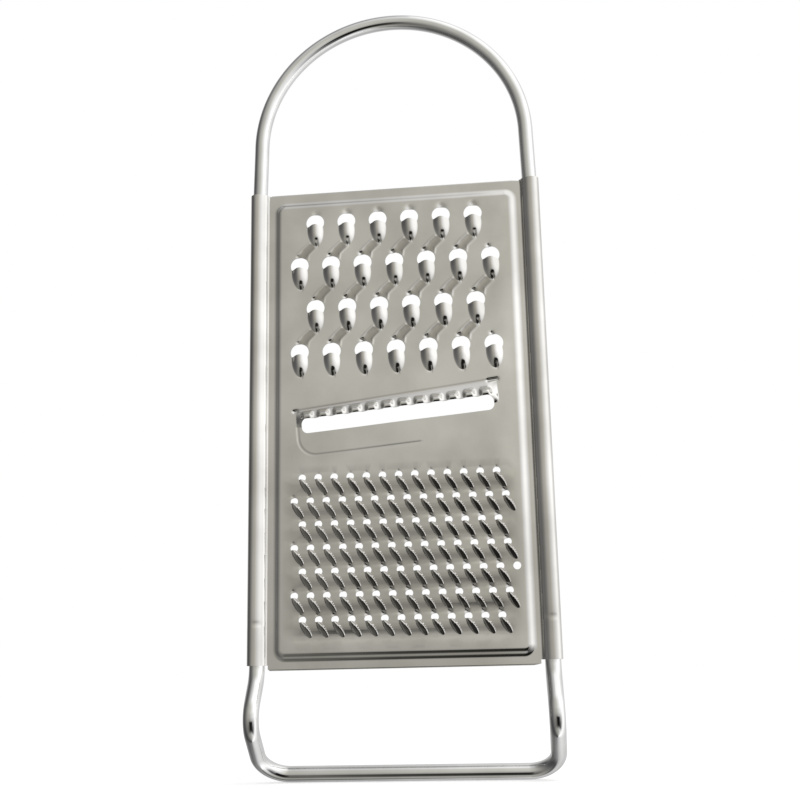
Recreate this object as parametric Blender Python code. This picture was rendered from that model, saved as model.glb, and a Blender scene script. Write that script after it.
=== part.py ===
# Flat kitchen grater: one pressed steel plate whose rolled side edges hold two bent wires,
# the bow above (handle) and the foot below. It stands upright on the foot's cross bar.
# Blender 4.5, metres. +Z runs up the plate towards the handle, and the cutting side faces -Y.
# The origin is the middle of the cross bar's underside.

import math

import bmesh
import bpy
from mathutils import Matrix, Vector

# Wire and sheet
WIRE_DIAMETER = 0.0051
SHEET = 0.0004
WIRE_CLEARANCE = 0.0002
WIRE_SIDES = 12

# Plate
OVERALL_WIDTH = 0.100
PLATE_HEIGHT = 0.162
FOOT_HEIGHT = 0.0346
SLEEVE_SETBACK = 0.0017
SLEEVE_SIDES = 20
SEAM_GAP = 0.0004
HEM_DEPTH = 0.0026
HEM_THICKNESS = 0.0005
CRIMP_RISE = 0.0130
CRIMP_RADIUS = 0.0015
CRIMP_DEPTH = 0.0002

# Raised panel inside the flange
PANEL_RISE = 0.0015
FLANGE_SIDE = 0.0023
FLANGE_TOP = 0.0030
FLANGE_BOTTOM = 0.0025
STEP_RUN = 0.0017
PANEL_CORNER = 0.0030
CORNER_STEPS = 4

# Coarse teeth: a hole with a scoop raised below it
COARSE_ROWS = 4
COARSE_IN_SHORT_ROW = 6
COARSE_PITCH = 0.01087
COARSE_ROW_SPACING = 0.01542
COARSE_TOP_MARGIN = 0.0116
COARSE_HOLE_RADIUS = 0.0031
COARSE_LIP_DROP = 0.0015
COARSE_SCOOP_HEIGHT = 0.0025
COARSE_SCOOP_LENGTH = 0.0070
COARSE_SIDES = 8
COARSE_RINGS = 6

# Fine teeth: the same form at a smaller size
FINE_ROWS = 7
FINE_IN_SHORT_ROW = 13
FINE_PITCH = 0.0053
FINE_ROW_SPACING = 0.00765
FINE_BOTTOM_MARGIN = 0.0155
FINE_HOLE_RADIUS = 0.0012
FINE_LIP_DROP = 0.0009
FINE_SCOOP_HEIGHT = 0.0011
FINE_SCOOP_LENGTH = 0.0036
FINE_SIDES = 6
FINE_RINGS = 4
SPARE_HOLE_ROW = 4
TOOTH_WALL = 0.00025

# Slicer: a slanted slot under a raised, rippled lip
SLOT_BELOW_TOP = 0.0808
SLOT_TILT = math.radians(4.8)
SLOT_LENGTH = 0.0641
SLOT_HEIGHT = 0.0045
LIP_HEIGHT = 0.0022
LIP_RAMP = 0.0050
LIP_OVERHANG = 0.0019
LIP_THICKNESS = 0.0005
RIPPLES = 12
RIPPLE_PITCH = 0.0054
RIPPLE_LENGTH = 0.0026
RIPPLE_WIDTH = 0.0036
RIPPLE_HEIGHT = 0.0005

# Pressed groove that hooks round the slot's left end
GROOVE_WIDTH = 0.0010
GROOVE_DEPTH = 0.0002
GROOVE_DROP = 0.0100
GROOVE_REACH = 0.0335
GROOVE_RUN = 0.0400
GROOVE_BEND = 0.0060

# Bow (handle)
HANDLE_RISE = 0.0176
BOW_TAPER = 0.00045
BOW_STEPS = 28

# Foot
WIRE_JOINT_RISE = 0.0400
WIRE_JOINT_GAP = 0.0006
BAR_SETBACK = 0.0107
KNEE_FORWARD = 0.0085
ANKLE_LEAN = math.radians(31.7)
FOOT_FLARE = 0.00045
ANKLE_BEND = 0.0120
KNEE_BEND = 0.0078
CORNER_BEND = 0.0094
BEND_STEPS = 5

# How far a cutter passes what it cuts, and how far it trims into an edge
CUT_PAST = 0.0010
TRIM = 0.00005
MERGE = 0.000001
CRISP_ANGLE = math.radians(35)

# Places worked out from the sizes above
WIRE_RADIUS = WIRE_DIAMETER / 2
BORE_RADIUS = WIRE_RADIUS + WIRE_CLEARANCE
SLEEVE_RADIUS = BORE_RADIUS + SHEET
SLEEVE_X = OVERALL_WIDTH / 2 - SLEEVE_RADIUS
PLATE_Y = -BAR_SETBACK
PLATE_BOTTOM = FOOT_HEIGHT
PLATE_TOP = PLATE_BOTTOM + PLATE_HEIGHT
SLEEVE_BOTTOM = PLATE_BOTTOM + SLEEVE_SETBACK
SLEEVE_TOP = PLATE_TOP - 2 * TRIM
SHEET_X = SLEEVE_X - BORE_RADIUS - SHEET / 2
STEP_X = SLEEVE_X - SLEEVE_RADIUS - FLANGE_SIDE
STEP_TOP = PLATE_TOP - FLANGE_TOP
STEP_BOTTOM = PLATE_BOTTOM + FLANGE_BOTTOM
PANEL_FACE_Y = PLATE_Y - PANEL_RISE - SHEET / 2
BAR_Z = WIRE_RADIUS * math.cos(math.pi / WIRE_SIDES)
SLOT_Z = PLATE_TOP - SLOT_BELOW_TOP


def clear_scene():
    for obj in list(bpy.data.objects):
        bpy.data.objects.remove(obj, do_unlink=True)


def new_collection(name):
    collection = bpy.data.collections.new(name)
    bpy.context.scene.collection.children.link(collection)
    return collection


def steel(name, colour, roughness):
    material = bpy.data.materials.new(name)
    material.use_nodes = True
    shader = material.node_tree.nodes["Principled BSDF"]
    shader.inputs["Base Color"].default_value = (*colour, 1.0)
    shader.inputs["Metallic"].default_value = 1.0
    shader.inputs["Roughness"].default_value = roughness
    return material


def object_from(name, bm, collection):
    mesh = bpy.data.meshes.new(name)
    bmesh.ops.recalc_face_normals(bm, faces=bm.faces)
    bm.to_mesh(mesh)
    bm.free()
    obj = bpy.data.objects.new(name, mesh)
    collection.objects.link(obj)
    return obj


def helper(name, bm):
    # A solid that only shapes the plate: it is joined to it or cut from it.
    obj = object_from(name, bm, helpers)
    obj.hide_render = True
    obj.display_type = "WIRE"
    return obj


def boolean(obj, operation, tool):
    modifier = obj.modifiers.new(tool.name, "BOOLEAN")
    modifier.operation = operation
    modifier.solver = "EXACT"
    modifier.object = tool


def box(low, high):
    bm = bmesh.new()
    size = [h - l for l, h in zip(low, high)]
    middle = [(l + h) / 2 for l, h in zip(low, high)]
    bmesh.ops.create_cube(bm, size=1.0, matrix=Matrix.Translation(middle) @ Matrix.Diagonal((*size, 1)))
    return bm


def rod(radius, sides, length):
    # A cylinder along Z with its lower end at the origin.
    bm = bmesh.new()
    place = Matrix.Translation((0, 0, length / 2))
    bmesh.ops.create_cone(
        bm, cap_ends=True, segments=sides, radius1=radius, radius2=radius, depth=length, matrix=place
    )
    return bm


def cut_away(bm, point, normal):
    # Removes what lies beyond the plane, on the normal's side, and closes the cut.
    geometry = bm.verts[:] + bm.edges[:] + bm.faces[:]
    bmesh.ops.bisect_plane(
        bm, geom=geometry, dist=MERGE, plane_co=point, plane_no=normal, clear_outer=True
    )
    bmesh.ops.remove_doubles(bm, verts=bm.verts, dist=MERGE)
    bmesh.ops.holes_fill(bm, edges=[edge for edge in bm.edges if edge.is_boundary])


def copies(shape, places):
    # One mesh that holds a separate copy of the shape at each place.
    pattern = bpy.data.meshes.new("pattern")
    bmesh.ops.recalc_face_normals(shape, faces=shape.faces)
    shape.to_mesh(pattern)
    shape.free()
    bm = bmesh.new()
    for place in places:
        first = len(bm.verts)
        bm.from_mesh(pattern)
        bm.verts.ensure_lookup_table()
        bmesh.ops.translate(bm, verts=bm.verts[first:], vec=place)
    bpy.data.meshes.remove(pattern)
    return bm


def rounded_path(corners, radii, steps):
    # A line through the corners, each rounded by an arc of its own radius. A radius of 0 stays sharp.
    path = []
    for index, corner in enumerate(corners):
        if radii[index] == 0:
            path.append(corner)
            continue
        back = (corners[index - 1] - corner).normalized()
        ahead = (corners[index + 1] - corner).normalized()
        half = back.angle(ahead) / 2
        reach = radii[index] / math.tan(half)
        centre = corner + (back + ahead).normalized() * radii[index] / math.sin(half)
        start = (corner + back * reach - centre).normalized()
        end = (corner + ahead * reach - centre).normalized()
        for step in range(steps + 1):
            path.append(centre + start.slerp(end, step / steps) * radii[index])
    return path


def wire(name, path, tilt, material):
    curve = bpy.data.curves.new(name, "CURVE")
    curve.dimensions = "3D"
    curve.twist_mode = "MINIMUM"
    curve.bevel_depth = WIRE_RADIUS
    curve.bevel_resolution = WIRE_SIDES // 2 - 2
    curve.use_fill_caps = True
    spline = curve.splines.new("POLY")
    spline.points.add(len(path) - 1)
    for point, place in zip(spline.points, path):
        point.co = (*place, 1.0)
        point.tilt = tilt
    spline.use_smooth = True
    curve.materials.append(material)
    obj = bpy.data.objects.new(name, curve)
    parts.objects.link(obj)
    return obj


def shade_by_angle(obj):
    # Faces are shaded smooth, and edges sharper than the crisp angle stay sharp.
    group = bpy.data.node_groups.new("shade_by_angle", "GeometryNodeTree")
    group.interface.new_socket("Geometry", in_out="INPUT", socket_type="NodeSocketGeometry")
    group.interface.new_socket("Geometry", in_out="OUTPUT", socket_type="NodeSocketGeometry")
    start = group.nodes.new("NodeGroupInput")
    end = group.nodes.new("NodeGroupOutput")
    angle = group.nodes.new("GeometryNodeInputMeshEdgeAngle")
    gentle = group.nodes.new("FunctionNodeCompare")
    gentle.operation = "LESS_THAN"
    gentle.inputs["B"].default_value = CRISP_ANGLE
    faces = group.nodes.new("GeometryNodeSetShadeSmooth")
    edges = group.nodes.new("GeometryNodeSetShadeSmooth")
    edges.domain = "EDGE"
    link = group.links.new
    link(start.outputs["Geometry"], faces.inputs["Geometry"])
    link(faces.outputs["Geometry"], edges.inputs["Geometry"])
    link(angle.outputs["Unsigned Angle"], gentle.inputs["A"])
    link(gentle.outputs["Result"], edges.inputs["Shade Smooth"])
    link(edges.outputs["Geometry"], end.inputs["Geometry"])
    modifier = obj.modifiers.new("shade_by_angle", "NODES")
    modifier.node_group = group


def mirrored(half_path):
    return half_path + [Vector((-place.x, place.y, place.z)) for place in reversed(half_path)]


def make_bow(material):
    arch_radius = SLEEVE_X - BOW_TAPER
    arch_z = PLATE_TOP + HANDLE_RISE
    leg_end = SLEEVE_BOTTOM + WIRE_JOINT_RISE + WIRE_JOINT_GAP / 2
    path = [Vector((-SLEEVE_X, PLATE_Y, leg_end)), Vector((-SLEEVE_X, PLATE_Y, PLATE_TOP))]
    for step in range(BOW_STEPS + 1):
        angle = math.pi * step / BOW_STEPS
        path.append(
            Vector((-arch_radius * math.cos(angle), PLATE_Y, arch_z + arch_radius * math.sin(angle)))
        )
    path.append(Vector((SLEEVE_X, PLATE_Y, PLATE_TOP)))
    path.append(Vector((SLEEVE_X, PLATE_Y, leg_end)))
    return wire("bow_handle", path, 0.0, material)


def make_foot(material):
    # Each leg leaves its sleeve, leans forward to a knee and runs back down to the cross bar.
    leg_x = SLEEVE_X + FOOT_FLARE
    leg_end = SLEEVE_BOTTOM + WIRE_JOINT_RISE - WIRE_JOINT_GAP / 2
    ankle_z = SLEEVE_BOTTOM - ANKLE_BEND * math.tan(ANKLE_LEAN / 2)
    knee_z = ankle_z - KNEE_FORWARD / math.tan(ANKLE_LEAN)
    left = [
        Vector((-SLEEVE_X, PLATE_Y, leg_end)),
        Vector((-SLEEVE_X, PLATE_Y, ankle_z)),
        Vector((-leg_x, PLATE_Y - KNEE_FORWARD, knee_z)),
        Vector((-leg_x, 0, BAR_Z)),
    ]
    bends = [0, ANKLE_BEND, KNEE_BEND, CORNER_BEND]
    path = rounded_path(mirrored(left), bends + bends[::-1], BEND_STEPS)
    # The tube's facets turn with the path from point to point, so they are followed down to the
    # bar and rolled until one of them faces straight down there.
    half = path[: len(path) // 2 + 1]
    segments = [(after - before).normalized() for before, after in zip(half, half[1:])]
    bisectors = [(before + after).normalized() for before, after in zip(segments, segments[1:])]
    directions = segments[:1] + bisectors + segments[-1:]
    facing = Vector((0, 1, 0))
    for before, after in zip(directions, directions[1:]):
        facing.rotate(before.rotation_difference(after))
    facet = 2 * math.pi / WIRE_SIDES
    roll = (facet / 2 - math.atan2(facing.z, facing.y)) % facet
    return wire("foot_frame", path, roll, material)


def drafted_block(half_x, z_low, z_high, y_back, y_front, corner, draft):
    # A rounded block whose front face is smaller than its back by the draft on every side.
    bm = box((-half_x, y_front, z_low), (half_x, y_back, z_high))
    uprights = [edge for edge in bm.edges if abs((edge.verts[0].co - edge.verts[1].co).y) > CUT_PAST / 2]
    bmesh.ops.bevel(
        bm, geom=uprights, offset=corner, segments=CORNER_STEPS, profile=0.5, affect="EDGES"
    )
    middle_z = (z_low + z_high) / 2
    half_z = (z_high - z_low) / 2
    for vert in bm.verts:
        if vert.co.y < (y_back + y_front) / 2:
            vert.co.x *= (half_x - draft) / half_x
            vert.co.z = middle_z + (vert.co.z - middle_z) * (half_z - draft) / half_z
    return bm


def egg(half_width, height, up, down, sides, rings):
    # An ellipsoid along Z, unlike above and below its middle, with a flat side at its left and right.
    bm = bmesh.new()
    turn = Matrix.Rotation(math.pi / sides - math.pi / 2, 4, "Z")
    place = Matrix.Diagonal((half_width, height, 1, 1)) @ turn
    bmesh.ops.create_uvsphere(bm, u_segments=sides, v_segments=rings, radius=1.0, matrix=place)
    for vert in bm.verts:
        vert.co.z *= up if vert.co.z > 0 else down
    return bm


def scoop(half_width, height, length, sides, rings):
    # The lower front of an egg: it stands proud of the sheet and fades out downwards.
    bm = egg(half_width, height, length, length, sides, rings)
    cut_away(bm, (0, 0, 0), (0, 0, 1))
    cut_away(bm, (0, SHEET / 2, 0), (0, 1, 0))
    return bm


def opening(half_width, height, up, down, sides, rings):
    # A hole through the sheet that runs on under the scoop as its hollow.
    bm = egg(half_width, height, up, down, sides, rings)
    for vert in bm.verts:
        if vert.co.y > 0:
            vert.co.y *= 4 * (SHEET + CUT_PAST) / height
    cut_away(bm, (0, SHEET + CUT_PAST, 0), (0, 1, 0))
    return bm


def tooth_places(rows, short_row, pitch, row_spacing, first_z):
    # Rows alternate between a short and a long one, each centred on the plate.
    places = []
    for row in range(rows):
        count = short_row + row % 2
        for column in range(count):
            x = (column - (count - 1) / 2) * pitch
            places.append(Vector((x, PANEL_FACE_Y, first_z - row * row_spacing)))
    return places


def add_teeth(plate, name, places, radius, lip_drop, height, length, sides, rings):
    lips = [place - Vector((0, 0, lip_drop)) for place in places]
    raised = scoop(radius + TOOTH_WALL, height, length, sides, rings)
    boolean(plate, "UNION", helper(name + "_scoops", copies(raised, lips)))
    cut = opening(radius, height - SHEET, radius, lip_drop + length - SHEET, sides, rings)
    boolean(plate, "DIFFERENCE", helper(name + "_openings", copies(cut, places)))


def ramp(low_z, high_z, low_y, high_y, back_y, low_half, high_half):
    # A wedge along X whose front slopes from low_y at its lower edge to high_y at its upper one.
    bm = box((-1, -1, -1), (1, 1, 1))
    for vert in bm.verts:
        upper = vert.co.z > 0
        half = high_half if upper or vert.co.y > 0 else low_half
        if vert.co.y > 0:
            vert.co.y = back_y
        else:
            vert.co.y = high_y if upper else low_y
        vert.co.x = math.copysign(half, vert.co.x)
        vert.co.z = high_z if upper else low_z
    return bm


def add_slicer(plate):
    # Made level and in the sheet's plane, then turned to the slot's slant.
    slant = Matrix.Translation((0, PANEL_FACE_Y, SLOT_Z)) @ Matrix.Rotation(-SLOT_TILT, 4, "Y")
    half = SLOT_LENGTH / 2
    lip_z = SLOT_HEIGHT / 2
    fall = LIP_HEIGHT / LIP_RAMP

    sink = SHEET / 4
    raised = ramp(
        lip_z, lip_z + LIP_RAMP + sink / fall, -LIP_HEIGHT, sink, SHEET / 2, half, half + LIP_OVERHANG
    )
    tool = helper("slicer_lip", raised)
    tool.matrix_world = slant
    boolean(plate, "UNION", tool)

    ripple = bmesh.new()
    bmesh.ops.create_cone(
        ripple, cap_ends=True, segments=6, radius1=RIPPLE_WIDTH / 2, radius2=RIPPLE_WIDTH / 8,
        depth=RIPPLE_LENGTH,
        matrix=Matrix.Diagonal((1, 2 * RIPPLE_HEIGHT / RIPPLE_WIDTH, 1, 1)),
    )
    slope = math.atan(fall)
    bmesh.ops.rotate(ripple, verts=ripple.verts, cent=(0, 0, 0), matrix=Matrix.Rotation(-slope, 3, "X"))
    above_lip = RIPPLE_LENGTH / 2 * math.cos(slope) - RIPPLE_HEIGHT
    start = Vector((0, -LIP_HEIGHT + above_lip * fall, lip_z + above_lip))
    places = [
        start + Vector(((index - (RIPPLES - 1) / 2) * RIPPLE_PITCH, 0, 0)) for index in range(RIPPLES)
    ]
    tool = helper("slicer_ripples", copies(ripple, places))
    tool.matrix_world = slant
    boolean(plate, "UNION", tool)

    # The hollow under the lip has the lip's slope, one wall thickness further in.
    inner_height = LIP_HEIGHT - LIP_THICKNESS / math.cos(slope)
    low_z = lip_z / 2
    deep = SHEET + CUT_PAST
    hollow = ramp(
        low_z, lip_z + (inner_height + deep) / fall, -inner_height - (lip_z - low_z) * fall, deep,
        deep + CUT_PAST, half - LIP_THICKNESS, half - LIP_THICKNESS,
    )
    tool = helper("slicer_hollow", hollow)
    tool.matrix_world = slant
    boolean(plate, "DIFFERENCE", tool)

    reach = LIP_HEIGHT + RIPPLE_HEIGHT + CUT_PAST
    slot = box((-half, -reach, -SLOT_HEIGHT / 2), (half, deep, lip_z + TRIM))
    ends = [edge for edge in slot.edges if abs((edge.verts[0].co - edge.verts[1].co).y) > CUT_PAST]
    bmesh.ops.bevel(
        slot, geom=ends, offset=SLOT_HEIGHT * 0.45, segments=CORNER_STEPS, profile=0.5, affect="EDGES"
    )
    tool = helper("slicer_slot", slot)
    tool.matrix_world = slant
    boolean(plate, "DIFFERENCE", tool)
    return slant


def mesh_of_curve(obj):
    # The curve as a mesh, with its loose caps welded on.
    graph = bpy.context.evaluated_depsgraph_get()
    mesh = bpy.data.meshes.new_from_object(obj.evaluated_get(graph))
    bm = bmesh.new()
    bm.from_mesh(mesh)
    bmesh.ops.remove_doubles(bm, verts=bm.verts, dist=0.00001)
    bpy.data.meshes.remove(mesh)
    bpy.data.objects.remove(obj, do_unlink=True)
    return bm


def add_groove(plate, slant):
    depth = GROOVE_WIDTH / 2 - GROOVE_DEPTH
    corners = [
        Vector((-GROOVE_REACH, -depth, 0)),
        Vector((-GROOVE_REACH, -depth, -GROOVE_DROP)),
        Vector((-GROOVE_REACH + GROOVE_RUN, -depth, -GROOVE_DROP)),
    ]
    curve = bpy.data.curves.new("groove", "CURVE")
    curve.dimensions = "3D"
    curve.bevel_depth = GROOVE_WIDTH / 2
    curve.bevel_resolution = 1
    curve.use_fill_caps = True
    path = rounded_path(corners, [0, GROOVE_BEND, 0], BEND_STEPS)
    spline = curve.splines.new("POLY")
    spline.points.add(len(path) - 1)
    for point, place in zip(spline.points, path):
        point.co = (*place, 1.0)
    guide = bpy.data.objects.new("groove_guide", curve)
    helpers.objects.link(guide)
    bpy.context.view_layer.update()
    tool = helper("hook_groove", mesh_of_curve(guide))
    tool.matrix_world = slant
    boolean(plate, "DIFFERENCE", tool)


def add_sleeves(plate):
    length = SLEEVE_TOP - SLEEVE_BOTTOM
    for side, name in ((-1, "left"), (1, "right")):
        axis = Vector((side * SLEEVE_X, PLATE_Y, SLEEVE_BOTTOM))
        roll = helper(name + "_roll", rod(SLEEVE_RADIUS, SLEEVE_SIDES, length))
        roll.location = axis
        boolean(plate, "UNION", roll)
    for side, name in ((-1, "left"), (1, "right")):
        axis = Vector((side * SLEEVE_X, PLATE_Y, SLEEVE_BOTTOM))
        bore = helper(name + "_bore", rod(BORE_RADIUS, SLEEVE_SIDES, length + 2 * CUT_PAST))
        bore.location = axis - Vector((0, 0, CUT_PAST))
        boolean(plate, "DIFFERENCE", bore)
        # The roll stays open by a hair where its free edge comes back to the flange, behind.
        reach = sorted((-side * (SLEEVE_RADIUS + CUT_PAST), -side * BORE_RADIUS / 2))
        seam_low = (reach[0], SHEET / 2 - TRIM, -CUT_PAST)
        seam_high = (reach[1], SHEET / 2 + SEAM_GAP, length + CUT_PAST)
        seam = helper(name + "_seam", box(seam_low, seam_high))
        seam.location = axis
        boolean(plate, "DIFFERENCE", seam)
        # A shallow crimp holds the foot's leg.
        crimp = helper(name + "_crimp", rod(CRIMP_RADIUS, 8, 2 * SLEEVE_RADIUS))
        crimp.matrix_world = Matrix.Translation(
            axis + Vector((-SLEEVE_RADIUS, -SLEEVE_RADIUS - CRIMP_RADIUS + CRIMP_DEPTH, CRIMP_RISE))
        ) @ Matrix.Rotation(math.pi / 2, 4, "Y")
        boolean(plate, "DIFFERENCE", crimp)


def make_plate(material):
    low = (-SHEET_X, PLATE_Y - SHEET / 2, PLATE_BOTTOM)
    high = (SHEET_X, PLATE_Y + SHEET / 2, PLATE_TOP)
    plate = object_from("grater_plate", box(low, high), parts)
    plate.data.materials.append(material)

    hem_x = SHEET_X - SHEET
    for name, z_low in (("upper_hem", PLATE_TOP - HEM_DEPTH), ("lower_hem", PLATE_BOTTOM)):
        inset = TRIM if name == "upper_hem" else -TRIM
        low = (-hem_x, PLATE_Y, z_low - inset)
        high = (hem_x, PLATE_Y + SHEET / 2 + HEM_THICKNESS, z_low + HEM_DEPTH - inset)
        boolean(plate, "UNION", helper(name, box(low, high)))

    block = drafted_block(
        STEP_X, STEP_BOTTOM, STEP_TOP, PLATE_Y, PANEL_FACE_Y, PANEL_CORNER, STEP_RUN
    )
    boolean(plate, "UNION", helper("panel_block", block))
    wall = SHEET * 1.4
    pocket = drafted_block(
        STEP_X - wall, STEP_BOTTOM + wall, STEP_TOP - wall, PLATE_Y + SHEET / 2 + HEM_THICKNESS + CUT_PAST,
        PANEL_FACE_Y + SHEET, PANEL_CORNER, STEP_RUN,
    )
    boolean(plate, "DIFFERENCE", helper("panel_pocket", pocket))

    add_sleeves(plate)
    slant = add_slicer(plate)
    add_groove(plate, slant)
    coarse = tooth_places(
        COARSE_ROWS, COARSE_IN_SHORT_ROW, COARSE_PITCH, COARSE_ROW_SPACING, PLATE_TOP - COARSE_TOP_MARGIN
    )
    add_teeth(
        plate, "coarse", coarse, COARSE_HOLE_RADIUS, COARSE_LIP_DROP, COARSE_SCOOP_HEIGHT,
        COARSE_SCOOP_LENGTH, COARSE_SIDES, COARSE_RINGS,
    )
    first_fine = PLATE_BOTTOM + FINE_BOTTOM_MARGIN + (FINE_ROWS - 1) * FINE_ROW_SPACING
    fine = tooth_places(FINE_ROWS, FINE_IN_SHORT_ROW, FINE_PITCH, FINE_ROW_SPACING, first_fine)
    add_teeth(
        plate, "fine", fine, FINE_HOLE_RADIUS, FINE_LIP_DROP, FINE_SCOOP_HEIGHT, FINE_SCOOP_LENGTH,
        FINE_SIDES, FINE_RINGS,
    )
    # One plain hole without a scoop stands at the right end of a short row.
    spare_x = (FINE_IN_SHORT_ROW + 1) / 2 * FINE_PITCH
    spare = Vector((spare_x, PANEL_FACE_Y, first_fine - SPARE_HOLE_ROW * FINE_ROW_SPACING))
    punch = rod(FINE_HOLE_RADIUS, 2 * FINE_SIDES, 4 * CUT_PAST)
    hole = helper("spare_hole", punch)
    hole.matrix_world = Matrix.Translation(spare + Vector((0, 2 * CUT_PAST, 0))) @ Matrix.Rotation(
        math.pi / 2, 4, "X"
    )
    boolean(plate, "DIFFERENCE", hole)
    shade_by_angle(plate)


clear_scene()
parts = new_collection("flat_grater")
helpers = new_collection("helpers")
helpers.hide_render = True
sheet_steel = steel("sheet_steel", (0.60, 0.58, 0.55), 0.14)
wire_steel = steel("wire_steel", (0.72, 0.72, 0.72), 0.08)
make_plate(sheet_steel)
make_bow(wire_steel)
make_foot(wire_steel)
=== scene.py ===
import math

import bpy
import numpy as np
from mathutils import Matrix, Vector
from mathutils.geometry import delaunay_2d_cdt


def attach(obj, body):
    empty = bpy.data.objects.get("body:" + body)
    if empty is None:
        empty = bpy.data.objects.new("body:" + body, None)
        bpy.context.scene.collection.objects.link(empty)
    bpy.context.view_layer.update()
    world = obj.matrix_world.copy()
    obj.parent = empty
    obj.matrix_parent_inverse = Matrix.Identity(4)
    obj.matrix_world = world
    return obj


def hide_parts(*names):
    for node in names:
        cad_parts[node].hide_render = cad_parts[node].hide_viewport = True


# Flat kitchen grater: one pressed steel sheet, with a wire bow above and a wire foot below.
# Its sizes are in millimetres and turn into metres as each mesh is made. The studio's are in metres.

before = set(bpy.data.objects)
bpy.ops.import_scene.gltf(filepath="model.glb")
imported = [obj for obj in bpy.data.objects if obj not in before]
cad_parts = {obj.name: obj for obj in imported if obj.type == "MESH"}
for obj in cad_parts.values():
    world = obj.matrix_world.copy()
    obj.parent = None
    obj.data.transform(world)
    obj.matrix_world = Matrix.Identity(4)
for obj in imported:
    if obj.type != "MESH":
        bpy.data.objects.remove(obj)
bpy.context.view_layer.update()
mm = 0.001
scene = bpy.context.scene


def soften(value):
    t = np.clip(value, 0.0, 1.0)
    return t * t * (3.0 - 2.0 * t)


def between(start, end, step):
    # Evenly spaced points, without the end.
    count = max(1, round(math.dist(start, end) / step))
    return [tuple(a + (b - a) * i / count for a, b in zip(start, end)) for i in range(count)]


def along(corners, step):
    # Points on the line through the corners, without its last.
    line = []
    for start, end in zip(corners, corners[1:]):
        line += between(start, end, step)
    return line


def arc(x, z, radius, start, sweep, steps):
    # Part of a circle, with both its ends.
    angles = [start + sweep * i / steps for i in range(steps + 1)]
    return [(x + radius * math.cos(angle), z + radius * math.sin(angle)) for angle in angles]


def newMesh(name, points, faces, material):
    mesh = bpy.data.meshes.new(name)
    mesh.from_pydata((np.array(points) * mm).tolist(), [], faces)
    mesh.polygons.foreach_set("use_smooth", np.ones(len(faces), bool))
    mesh.materials.append(material)
    mesh.update()
    return mesh


def addObject(name, data):
    obj = bpy.data.objects.new(name, data)
    scene.collection.objects.link(obj)
    return obj


def addNode(tree, kind, inputs, **settings):
    # An input is either a value or the socket that feeds it.
    node = tree.nodes.new("ShaderNode" + kind)
    for name, value in settings.items():
        setattr(node, name, value)
    for name, value in inputs.items():
        if isinstance(value, bpy.types.NodeSocket):
            tree.links.new(value, node.inputs[name])
        else:
            node.inputs[name].default_value = value
    return node


def emptyTree(owner):
    owner.use_nodes = True
    owner.node_tree.nodes.clear()
    return owner.node_tree


def newMaterial(name):
    material = bpy.data.materials.new(name)
    return material, emptyTree(material)


def valueRamp(tree, stops, factor):
    ramp = addNode(tree, "ValToRGB", {"Fac": factor})
    elements = ramp.color_ramp.elements
    for i, (place, colour) in enumerate(stops):
        element = elements[i] if i < 2 else elements.new(place)
        element.position = place
        element.color = (*colour, 1.0)
    return ramp.outputs["Color"]


def mixColours(tree, factor, first, second):
    inputs = {"Factor": factor, "A": first, "B": second}
    return addNode(tree, "Mix", inputs, data_type="RGBA").outputs["Result"]


# The finishes

sheetSteel = {
    "light": (0.695, 0.685, 0.662),
    "dark": (0.575, 0.562, 0.538),
    # painted shade: darker tones that stand in for dark reflections between the teeth
    "paintedShade": (0.42, 0.40, 0.37),
    "paintedShadeDark": (0.378, 0.36, 0.333),
    "cloudSize": 45.0,  # noise scale, per metre
    "smearSize": 135.0,
    "smearStretch": 0.45,
    "rollLines": 5200.0,
    "rollLineStretch": 0.012,
    "gloss": (0.045, 0.10),
    "lineDepth": 0.035,
}

wireSteel = {
    "light": (0.76, 0.76, 0.755),
    "dark": (0.68, 0.68, 0.675),
    "cloudSize": 90.0,
    "drawLines": 60.0,  # across the wire
    "drawLineStretch": 0.004,
    "gloss": (0.03, 0.07),
    "lineDepth": 0.02,
}

rampRange = (0.35, 0.65)  # of a noise's values, for the colours
spreadRange = (0.3, 0.7)  # and for the gloss
lineHeight = 0.0001  # metres


def twoTone(tree, factor, dark, light):
    return valueRamp(tree, zip(rampRange, (dark, light)), factor)


def cloud(tree, vector, scale, detail):
    noise = addNode(tree, "TexNoise", {"Vector": vector, "Scale": scale, "Detail": detail})
    return noise.outputs["Fac"]


def stretched(tree, vector, scale):
    return addNode(tree, "Mapping", {"Vector": vector, "Scale": scale}).outputs["Vector"]


def finishMetal(tree, look, colour, gloss, lines):
    start, end = spreadRange
    low, high = look["gloss"]
    ends = {"From Min": start, "From Max": end, "To Min": low, "To Max": high}
    rough = addNode(tree, "MapRange", {"Value": gloss, **ends}).outputs["Result"]
    bump = addNode(tree, "Bump", {"Height": lines, "Strength": look["lineDepth"], "Distance": lineHeight})
    inputs = {"Base Color": colour, "Metallic": 1.0, "Roughness": rough, "Normal": bump.outputs["Normal"]}
    shader = addNode(tree, "BsdfPrincipled", inputs)
    addNode(tree, "OutputMaterial", {"Surface": shader.outputs["BSDF"]})


def makeSheetSteel(look):
    material, tree = newMaterial("polishedSheetSteel")
    place = addNode(tree, "TexCoord", {}).outputs["Object"]
    tall = stretched(tree, place, (1.0, 1.0, look["smearStretch"]))
    rolled = stretched(tree, place, (1.0, 1.0, look["rollLineStretch"]))
    clouds = cloud(tree, place, look["cloudSize"], detail=4.0)
    smears = cloud(tree, tall, look["smearSize"], detail=5.0)
    lines = cloud(tree, rolled, look["rollLines"], detail=2.0)
    # painted shade: the steel between the teeth is darkened, standing in for dark reflections, by the
    # amount that each point of the sheet carries
    shadeAmount = addNode(tree, "Attribute", {}, attribute_name="paintedShade").outputs["Fac"]
    shadedSteel = twoTone(tree, smears, look["paintedShadeDark"], look["paintedShade"])
    unshadedSteel = twoTone(tree, clouds, look["dark"], look["light"])
    finishMetal(tree, look, mixColours(tree, shadeAmount, unshadedSteel, shadedSteel), smears, lines)
    return material


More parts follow.
